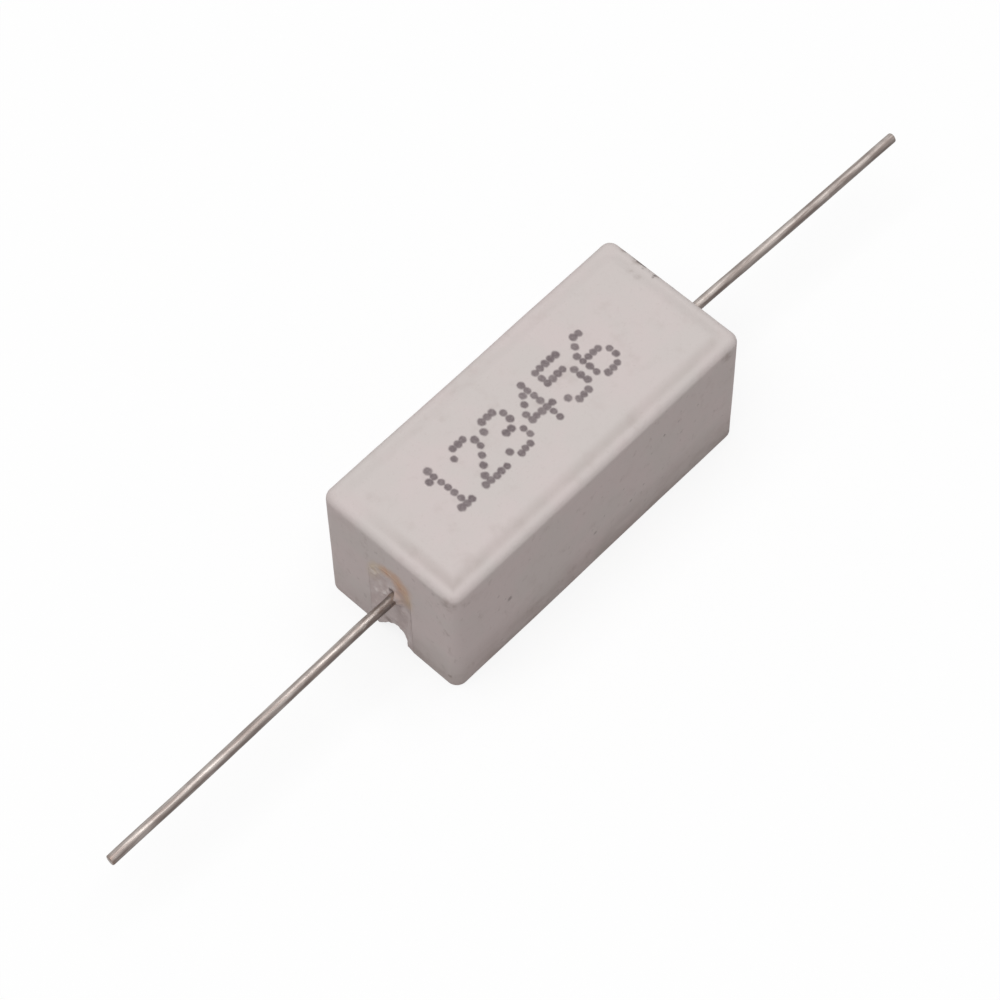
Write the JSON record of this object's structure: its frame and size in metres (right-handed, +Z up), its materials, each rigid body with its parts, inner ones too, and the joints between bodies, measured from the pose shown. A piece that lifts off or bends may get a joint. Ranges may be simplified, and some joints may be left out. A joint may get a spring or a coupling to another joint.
{
  "type": "axial resistor",
  "caption": "Power resistor: a wire-wound rod potted in a rectangular ceramic case, with a stiff round lead leaving each end.",
  "frame": {"origin": "middle of the case's underside, on the plane of the open rim that it rests on", "axes": "+Z up through the marked face, +X along the case towards the far lead, +Y across it"},
  "size_m": [0.0607, 0.0094, 0.0097],
  "materials": {
    "case_ceramic": "matt, unglazed, dry-pressed",
    "potting_cement": "matt, grainy silica cement, stained yellow-brown round the near lead",
    "rod_ceramic": "matt, fired",
    "resistance_wire": "drawn wire, lightly oxidised",
    "cap_metal": "plated, drawn sheet",
    "lead_metal": "tinned, with dull streaks"
  },
  "bodies": {
    "root": {"ceramic_case": "case_ceramic", "cement_fill": "potting_cement", "core_rod": "rod_ceramic", "resistance_winding": "resistance_wire", "near_end_cap": "cap_metal", "far_end_cap": "cap_metal", "near_lead": "lead_metal", "far_lead": "lead_metal"}
  },
  "joints": []
}
